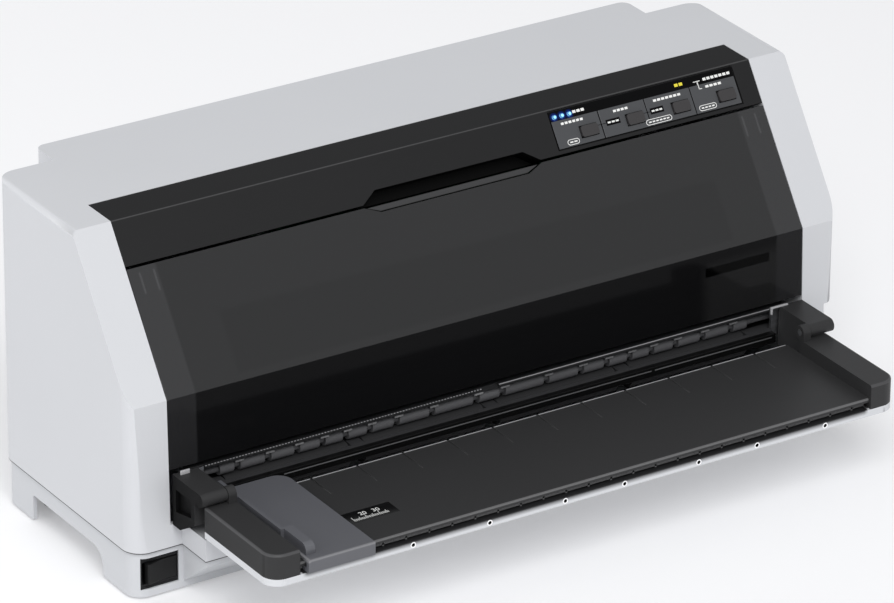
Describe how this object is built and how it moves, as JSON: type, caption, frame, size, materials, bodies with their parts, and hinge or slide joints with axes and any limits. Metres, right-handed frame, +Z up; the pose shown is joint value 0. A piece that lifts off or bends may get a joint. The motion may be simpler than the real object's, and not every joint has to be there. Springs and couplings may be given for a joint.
{
  "type": "dot matrix printer",
  "caption": "Flatbed dot matrix printer with a smoked hinged cover, sheet tray with edge guide, control strip and carriage mechanism.",
  "frame": {"origin": "on the table plane under the middle of the printer's overall box", "axes": "+X along the carriage's travel to the right, +Y to the rear, +Z up"},
  "size_m": [0.48, 0.2762, 0.2053],
  "materials": {
    "case_white": "fine textured",
    "base_grey": "fine textured",
    "strip_black": "fine textured",
    "panel_black": "satin film",
    "panel_grey": "satin film",
    "button_dark": "matte",
    "lamp_blue": "clear lens, lit",
    "cover_smoke": "smoked, clear",
    "tray_black": "fine textured",
    "guide_grey": "fine textured",
    "sheet_steel": "zinc plated",
    "ground_steel": "ground",
    "roller_grey": "matte",
    "gear_white": "natural acetal",
    "inner_black": "matte",
    "foot_rubber": "matte",
    "head_alloy": "cast",
    "ribbon_cloth": "inked nylon",
    "board_green": "solder mask",
    "motor_steel": "semi gloss"
  },
  "bodies": {
    "body": {"upper_housing": "case_white", "case_screws": "sheet_steel", "base": "base_grey", "rubber_feet": "foot_rubber", "power_switch": "inner_black", "top_strip": "strip_black", "control_panel": "panel_black", "panel_cells": "panel_grey", "indicator_lenses": "lamp_blue", "panel_board": "board_green", "hinge_block_right": "tray_black", "hinge_block_left": "tray_black", "paper_guide": "guide_grey", "front_pinch_beam": "inner_black", "rear_pinch_beam": "inner_black", "platen": "inner_black", "side_frame_right": "sheet_steel", "side_frame_left": "sheet_steel", "feed_motor": "motor_steel", "carriage_shaft": "ground_steel", "front_rail": "sheet_steel", "ribbon_cartridge": "inner_black", "ribbon": "ribbon_cloth", "carriage_belt": "foot_rubber", "rear_crossbeam": "sheet_steel", "carriage_motor": "motor_steel", "main_board": "board_green", "signal_ports": "inner_black", "power_supply": "sheet_steel", "ac_inlet": "inner_black"},
    "rocker": {"power_rocker": "inner_black"},
    "first_button": {"button_first": "button_dark"},
    "second_button": {"button_second": "button_dark"},
    "third_button": {"button_third": "button_dark"},
    "fourth_button": {"button_fourth": "button_dark"},
    "cover": {"front_cover": "cover_smoke"},
    "tray": {"tray_deck": "tray_black", "tray_shell": "case_white", "tray_pins": "sheet_steel"},
    "guide": {"edge_guide": "guide_grey"},
    "front_feed": {"front_feed_shaft": "ground_steel", "front_feed_rubbers": "roller_grey", "front_roller_gear": "gear_white"},
    "rear_feed": {"rear_feed_shaft": "ground_steel", "rear_feed_rubbers": "roller_grey", "rear_roller_gear": "gear_white"},
    "front_pinch": {"front_pinch_roller": "guide_grey"},
    "rear_pinch": {"rear_pinch_roller": "guide_grey"},
    "knob": {"paper_knob": "case_white", "knob_gear": "gear_white"},
    "middle": {"middle_gear": "gear_white"},
    "third": {"third_gear": "gear_white"},
    "pinion": {"feed_pinion": "gear_white"},
    "carriage": {"carriage": "inner_black", "print_head": "head_alloy"},
    "drive": {"drive_pulley": "gear_white"},
    "idler": {"idler_pulley": "gear_white"},
    "ribbon_turn": {"ribbon_knob": "inner_black"}
  },
  "joints": [
    {"name": "cover_hinge", "type": "hinge", "parent": "body", "child": "cover", "pos_m": [0, -0.0266, 0.083], "axis": [1, 0, 0], "range_deg": [0, 75]},
    {"name": "tray_hinge", "type": "hinge", "parent": "body", "child": "tray", "pos_m": [0, -0.0636, 0.071], "axis": [1, 0, 0], "range_deg": [-70, 0]},
    {"name": "guide_slide", "type": "slide", "parent": "tray", "child": "guide", "axis": [1, 0, 0], "range_m": [0, 0.334]},
    {"name": "rocker_tilt", "type": "hinge", "parent": "body", "child": "rocker", "pos_m": [-0.2215, -0.0256, 0.017], "axis": [0, 0, 1], "range_deg": [-14, 0]},
    {"name": "first_press", "type": "slide", "parent": "body", "child": "first_button", "axis": [0, 0.8205, -0.5716], "range_m": [0, 0.0012], "stiffness_N_per_m": 400},
    {"name": "second_press", "type": "slide", "parent": "body", "child": "second_button", "axis": [0, 0.8205, -0.5716], "range_m": [0, 0.0012], "stiffness_N_per_m": 400},
    {"name": "third_press", "type": "slide", "parent": "body", "child": "third_button", "axis": [0, 0.8205, -0.5716], "range_m": [0, 0.0012], "stiffness_N_per_m": 400},
    {"name": "fourth_press", "type": "slide", "parent": "body", "child": "fourth_button", "axis": [0, 0.8205, -0.5716], "range_m": [0, 0.0012], "stiffness_N_per_m": 400},
    {"name": "front_feed_spin", "type": "hinge", "parent": "body", "child": "front_feed", "pos_m": [0, -0.0246, 0.0526], "axis": [1, 0, 0], "continuous": true},
    {"name": "rear_feed_spin", "type": "hinge", "parent": "body", "child": "rear_feed", "pos_m": [0, 0.0754, 0.0526], "axis": [1, 0, 0], "continuous": true},
    {"name": "front_pinch_spin", "type": "hinge", "parent": "body", "child": "front_pinch", "pos_m": [0, -0.0246, 0.065], "axis": [1, 0, 0], "continuous": true},
    {"name": "rear_pinch_spin", "type": "hinge", "parent": "body", "child": "rear_pinch", "pos_m": [0, 0.0754, 0.065], "axis": [1, 0, 0], "continuous": true},
    {"name": "knob_spin", "type": "hinge", "parent": "body", "child": "knob", "pos_m": [0, -0.0026, 0.0526], "axis": [1, 0, 0], "continuous": true},
    {"name": "middle_spin", "type": "hinge", "parent": "body", "child": "middle", "pos_m": [0, 0.0254, 0.0526], "axis": [1, 0, 0], "continuous": true},
    {"name": "third_spin", "type": "hinge", "parent": "body", "child": "third", "pos_m": [0, 0.0534, 0.0526], "axis": [1, 0, 0], "continuous": true},
    {"name": "pinion_spin", "type": "hinge", "parent": "body", "child": "pinion", "pos_m": [0, 0.03565, 0.0366], "axis": [1, 0, 0], "continuous": true},
    {"name": "carriage_slide", "type": "slide", "parent": "body", "child": "carriage", "axis": [1, 0, 0], "range_m": [0, 0.3]},
    {"name": "drive_spin", "type": "hinge", "parent": "body", "child": "drive", "pos_m": [-0.183, 0.0774, 0.094], "axis": [0, 0, 1], "continuous": true},
    {"name": "idler_spin", "type": "hinge", "parent": "body", "child": "idler", "pos_m": [0.183, 0.0774, 0.094], "axis": [0, 0, 1], "continuous": true},
    {"name": "ribbon_knob_spin", "type": "hinge", "parent": "body", "child": "ribbon_turn", "pos_m": [-0.12, 0.0284, 0.134], "axis": [0, 0, 1], "continuous": true}
  ],
  "couplings": [
    {"joint": "rear_feed_spin", "follows": "front_feed_spin", "ratio": 1},
    {"joint": "front_pinch_spin", "follows": "front_feed_spin", "ratio": -2},
    {"joint": "rear_pinch_spin", "follows": "front_feed_spin", "ratio": -2},
    {"joint": "knob_spin", "follows": "front_feed_spin", "ratio": -0.57143},
    {"joint": "middle_spin", "follows": "front_feed_spin", "ratio": 0.57143},
    {"joint": "third_spin", "follows": "front_feed_spin", "ratio": -0.57143},
    {"joint": "pinion_spin", "follows": "front_feed_spin", "ratio": -1.6},
    {"joint": "drive_spin", "follows": "carriage_slide", "rad_per_m": 114.94},
    {"joint": "idler_spin", "follows": "carriage_slide", "rad_per_m": 114.94}
  ]
}
